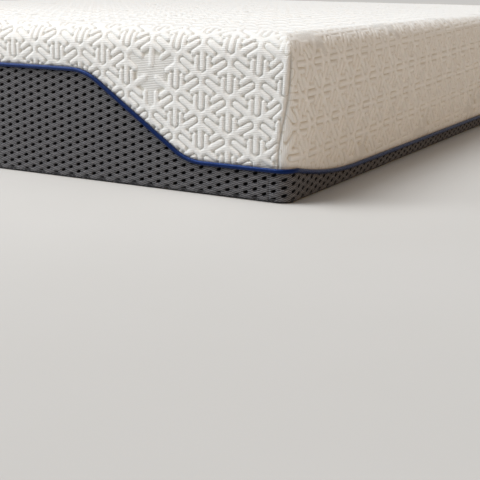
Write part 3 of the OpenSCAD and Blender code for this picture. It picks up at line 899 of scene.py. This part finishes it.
def woven_finish(name, light, dark, pitch, rough=0.85, depth=0.12, sheen=0.0):
    """Plain weave of two tones: for tapes, linings, labels and base fabrics."""
    f = Finish(name, Roughness=rough, Sheen_Weight=sheen, Specular_IOR_Level=0.25)
    place = f.place()
    weave = f.math("MULTIPLY", f.band(place, "X", pitch),
                   f.math("MULTIPLY", f.band(place, "Y", pitch), f.band(place, "Z", pitch)))
    tone = f.mix(f.span(weave, 0.0, 0.35), dark, light)
    tone = f.mix(f.span(f.noise(place, 25 * MM), 0.35, 0.7, 0.0, 0.4), tone, dark)
    normal = f.bump(weave, depth * MM, 0.7)
    return f.link(Base_Color=tone, Normal=normal).material


def metal_finish():
    """Brushed zinc of the zip's slider, pull and stops, with small scratches."""
    f = Finish("zip_metal", Metallic=1.0)
    place = f.place()
    brushed = f.noise(f.scaled(place, 0.15, 1, 1), 0.5 * MM, 4)
    tone = f.mix(brushed, colour(120, 122, 126), colour(176, 178, 182))
    rough = f.span(brushed, 0.3, 0.7, 0.28, 0.5)
    return f.link(Base_Color=tone, Roughness=rough, Normal=f.bump(brushed, 0.05 * MM, 0.4)).material


def nylon_finish():
    f = Finish("zip_coil", Specular_IOR_Level=0.5)
    grain = f.noise(f.place(), 1.2 * MM, 3)
    tone = f.mix(grain, colour(20, 20, 23), colour(44, 44, 49))
    return f.link(Base_Color=tone, Roughness=f.span(grain, 0.3, 0.7, 0.3, 0.5)).material


def foam_finish(name, light, dark, cell):
    """Cut foam: small open cells between paler walls."""
    f = Finish(name, Roughness=0.95, Specular_IOR_Level=0.15)
    place = f.place()
    cells = f.dots(place, cell, 1.0)
    tone = f.mix(f.span(cells, 0.1, 0.6), dark, light)
    tone = f.mix(f.span(f.noise(place, 60 * MM), 0.35, 0.7, 0.0, 0.3), tone, dark)
    return f.link(Base_Color=tone, Normal=f.bump(cells, 0.4 * cell, 0.6)).material


def fibre_finish(name, light, dark, size):
    """Loose or bonded fibres: batting, scrim, non-woven and glue."""
    f = Finish(name, Roughness=0.92, Specular_IOR_Level=0.2)
    place = f.place()
    strands = f.noise(f.scaled(place, 1, 0.2, 1), size, 5, 0.7)
    tone = f.mix(f.span(strands, 0.35, 0.65), dark, light)
    return f.link(Base_Color=tone, Normal=f.bump(strands, 0.3 * MM, 0.6)).material


# ---------- build ----------


def finish_nodes():
    """Materials for the CAD nodes that stay as they are."""
    tape = woven_finish("zip_tape", colour(44, 44, 48), colour(24, 24, 27), 0.8 * MM)
    metal = metal_finish()
    glue = fibre_finish("glue", colour(236, 228, 196), colour(214, 204, 168), 4 * MM)
    sock = woven_finish("sock", colour(246, 245, 241), colour(226, 224, 218), 1.2 * MM)
    finishes = {
        "quilt_padding": fibre_finish(
            "padding", colour(244, 242, 235), colour(224, 221, 211), 1.5 * MM),
        "quilt_backing": fibre_finish(
            "scrim", colour(224, 220, 209), colour(196, 192, 180), 0.8 * MM),
        "glue_film_upper": glue, "glue_film_lower": glue,
        "corner_seam_tapes": woven_finish(
            "seam_tape", colour(214, 209, 196), colour(190, 185, 170), 1 * MM),
        "piping_cord": fibre_finish(
            "cord_filler", colour(232, 228, 218), colour(206, 200, 186), 0.7 * MM),
        "border_lining": woven_finish("lining", colour(46, 45, 46), colour(26, 26, 27), 1.4 * MM),
        "zip_tape_upper": tape, "zip_tape_lower": tape,
        "zip_end_stops": metal, "zip_slider": metal, "zip_pull": metal,
        "fire_sock": sock, "fire_sock_base": sock,
        "comfort_foam": foam_finish(
            "comfort_foam", colour(212, 230, 238), colour(176, 202, 214), 1.2 * MM),
        "transition_foam": foam_finish(
            "transition_foam", colour(246, 241, 226), colour(222, 214, 192), 1.6 * MM),
        "core_foam": foam_finish(
            "core_foam", colour(222, 222, 219), colour(188, 188, 186), 2.2 * MM),
    }
    for node, finish in finishes.items():
        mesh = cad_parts[node].data
        mesh.materials.clear()
        mesh.materials.append(finish)


def declare_layers():
    """Only defines a helper for a hidden layer's size as cut; nothing is declared or used."""
    def cut(node):
        low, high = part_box(node)
        return high - low


def lamp(name, kind, place, target, power, tint, glossy=True, **settings):
    data = bpy.data.lights.new(name, kind)
    data.energy = power
    data.color = tint
    for key, value in settings.items():
        setattr(data, key, value)
    made = bpy.data.objects.new(name, data)
    made.location = place
    made.rotation_mode = "QUATERNION"
    made.rotation_quaternion = (Vector(target) - Vector(place)).to_track_quat("-Z", "Y")
    made.visible_camera = False
    made.visible_glossy = glossy
    bpy.context.scene.collection.objects.link(made)


def make_studio():
    """Pale floor, soft light from high on the left, a lamp by the foot end, and a warm weak fill that
    gloss doesn't show."""
    half = 50.0
    floor = bpy.data.meshes.new("floor")
    corners = [(-half, -half, 0), (half, -half, 0), (half, half, 0), (-half, half, 0)]
    floor.from_pydata(corners, [], [(0, 1, 2, 3)])
    f = Finish("floor", Roughness=0.8)
    grain = f.noise(f.place(), 0.5, 4)
    f.link(Base_Color=f.mix(grain, colour(186, 185, 182), colour(193, 192, 190)))
    floor.materials.append(f.material)
    stage = bpy.data.objects.new("floor", floor)
    bpy.context.scene.collection.objects.link(stage)
    world = bpy.data.worlds.new("studio")
    world.use_nodes = True
    world.node_tree.nodes["Background"].inputs["Color"].default_value = (0.97, 0.98, 1.0, 1)
    world.node_tree.nodes["Background"].inputs["Strength"].default_value = 0.3
    bpy.context.scene.world = world
    lamp("sun", "SUN", place=(-2.2, -1.1, 4.6), target=(0, 0, 0), power=2.95,
         tint=(0.985, 0.993, 1.0), angle=math.radians(35))
    lamp("key", "AREA", place=(-1.0, -1.95, 1.0), target=(0.2, -1.016, 0.15), power=3.2,
         tint=(1.0, 1.0, 1.0), size=0.8, spread=math.radians(75))
    lamp("fill", "SUN", place=(3.2, -0.7, 1.1), target=(0, 0, 0), power=0.58,
         tint=(1.0, 0.52, 0.1), glossy=False, angle=math.radians(24))
    bpy.context.scene.view_settings.view_transform = "Standard"


def main():
    make_camera()
    make_studio()
    make_knit_cover(knit_finish())
    # pillow and low tones of the mesh: its painted highlight and painted shade by height
    spacer = spacer_finish("spacer_mesh", colour(93, 93, 96), colour(44, 44, 46))
    notch = (ZIP_HALF, ZIP_HIGH.z)
    for name, node, place, reach, turn, gap in (
            ("mesh_foot", "mesh_border_foot", end_place, END_REACH, turned(False, -1), None),
            ("mesh_head", "mesh_border_head", end_place, END_REACH, turned(False, 1), notch),
            ("mesh_left", "mesh_border_left", side_place, SIDE_REACH, turned(True, -1), None),
            ("mesh_right", "mesh_border_right", side_place, SIDE_REACH, turned(True, 1), None)):
        make_border(name, node, place, reach, turn, gap, spacer)
    make_piping(piping_finish())
    make_bottom(woven_finish("bottom_fabric", colour(66, 66, 68), colour(40, 40, 42), 1.6 * MM))
    nylon = nylon_finish()
    for node in ("zip_coil_upper", "zip_coil_lower"):
        make_coil(node, nylon)
    make_label(woven_finish("label", colour(246, 244, 238), colour(226, 223, 214), 0.7 * MM,
                            rough=0.5, depth=0.05, sheen=0.2))
    finish_nodes()
    declare_layers()


main()
